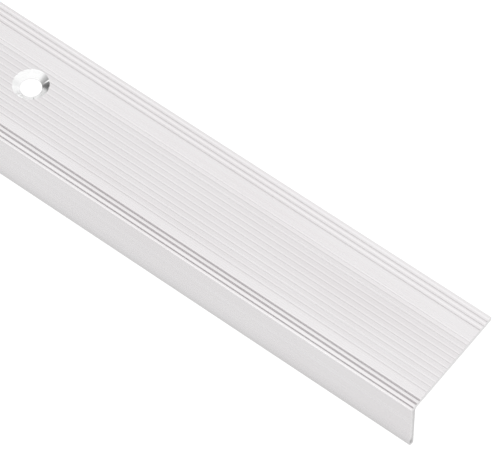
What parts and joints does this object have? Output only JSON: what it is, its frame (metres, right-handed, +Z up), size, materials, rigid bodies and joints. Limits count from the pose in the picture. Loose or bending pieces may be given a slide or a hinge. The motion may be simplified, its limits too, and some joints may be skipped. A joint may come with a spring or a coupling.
{
  "type": "threshold strip",
  "caption": "Angle threshold strip: a grooved flat flange that screws to the floor and a short leg that covers its edge.",
  "frame": {"origin": "on the underside of the flange, the face that rests on the floor, at mid-length and mid-width", "axes": "+X along the strip towards the end with the empty hole, +Y from the leg to the back edge of the flange, +Z up out of the floor"},
  "size_m": [0.9, 0.03, 0.0166],
  "materials": {
    "mill_aluminium": "satin mill finish, drawn lengthwise",
    "screw_steel": "bright zinc plate"
  },
  "bodies": {
    "strip": {"strip_extrusion": "mill_aluminium"},
    "screw_left_end": {"screw_left_end": "screw_steel"},
    "screw_left_middle": {"screw_left_middle": "screw_steel"},
    "screw_right_middle": {"screw_right_middle": "screw_steel"}
  },
  "joints": [
    {"name": "screw_left_end_slide", "type": "slide", "parent": "strip", "child": "screw_left_end", "axis": [0, 0, 1], "range_m": [0, 0.02]},
    {"name": "screw_left_middle_slide", "type": "slide", "parent": "strip", "child": "screw_left_middle", "axis": [0, 0, 1], "range_m": [0, 0.02]},
    {"name": "screw_right_middle_slide", "type": "slide", "parent": "strip", "child": "screw_right_middle", "axis": [0, 0, 1], "range_m": [0, 0.02]}
  ]
}
